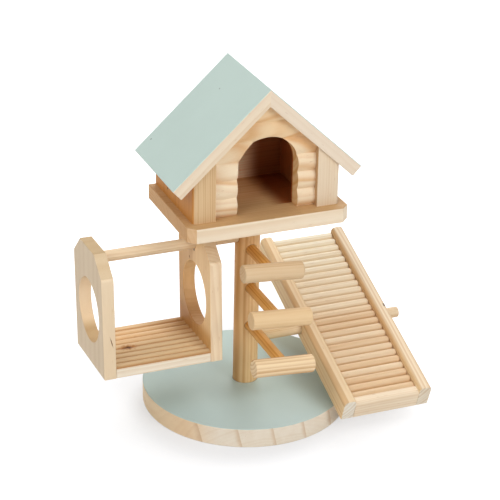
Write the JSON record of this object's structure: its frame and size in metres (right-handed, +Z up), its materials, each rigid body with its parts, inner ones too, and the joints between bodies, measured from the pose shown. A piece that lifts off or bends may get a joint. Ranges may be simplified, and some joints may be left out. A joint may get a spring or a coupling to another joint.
{
  "type": "small animal play house",
  "caption": "Wooden play house for small pets: gabled house on a post and round base, with a hanging swing, a rocking ramp and peg steps.",
  "frame": {"origin": "centre of the base disc's underside, on the post's axis", "axes": "+Z up along the post, -Y out of the doorway, +X to the right seen from the front, towards the ramp"},
  "size_m": [0.2951, 0.2029, 0.3076],
  "materials": {
    "pine": "sanded bare pine",
    "dowel_wood": "sanded bare dowel",
    "painted_pine": "pine with matt pale green paint on its upper face"
  },
  "bodies": {
    "stand": {"base_disc": "painted_pine", "post": "dowel_wood", "platform": "pine", "side_wall_left": "pine", "side_wall_right": "pine", "front_wall": "pine", "back_wall": "pine", "roof_panel_left": "painted_pine", "roof_panel_right": "painted_pine", "swing_dowel": "dowel_wood", "ramp_dowel": "dowel_wood", "step_peg_1": "dowel_wood", "step_tread_1": "dowel_wood", "step_peg_2": "dowel_wood", "step_tread_2": "dowel_wood", "step_peg_3": "dowel_wood", "step_tread_3": "dowel_wood"},
    "swing": {"swing_side_left": "pine", "swing_side_right": "pine", "swing_floor": "pine"},
    "ramp": {"ramp_rail_left": "pine", "ramp_rail_right": "pine", "ramp_end_board": "pine", "ramp_rung_01": "dowel_wood", "ramp_rung_02": "dowel_wood", "ramp_rung_03": "dowel_wood", "ramp_rung_04": "dowel_wood", "ramp_rung_05": "dowel_wood", "ramp_rung_06": "dowel_wood", "ramp_rung_07": "dowel_wood", "ramp_rung_08": "dowel_wood", "ramp_rung_09": "dowel_wood", "ramp_rung_10": "dowel_wood", "ramp_rung_11": "dowel_wood", "ramp_rung_12": "dowel_wood", "ramp_rung_13": "dowel_wood", "ramp_rung_14": "dowel_wood", "ramp_rung_15": "dowel_wood", "ramp_rung_16": "dowel_wood", "ramp_rung_17": "dowel_wood", "ramp_rung_18": "dowel_wood", "ramp_rung_19": "dowel_wood", "ramp_rung_20": "dowel_wood", "ramp_rung_21": "dowel_wood", "ramp_rung_22": "dowel_wood", "ramp_rung_23": "dowel_wood", "ramp_rung_24": "dowel_wood", "ramp_rung_25": "dowel_wood"}
  },
  "joints": [
    {"name": "swing_pivot", "type": "hinge", "parent": "stand", "child": "swing", "pos_m": [-0.092, 0, 0.1588], "axis": [1, 0, 0], "range_deg": [-39.2, 44.8]},
    {"name": "ramp_pivot", "type": "hinge", "parent": "stand", "child": "ramp", "pos_m": [0.094, 0, 0.0578], "axis": [1, 0, 0], "range_deg": [-41.4, 1.4]}
  ]
}
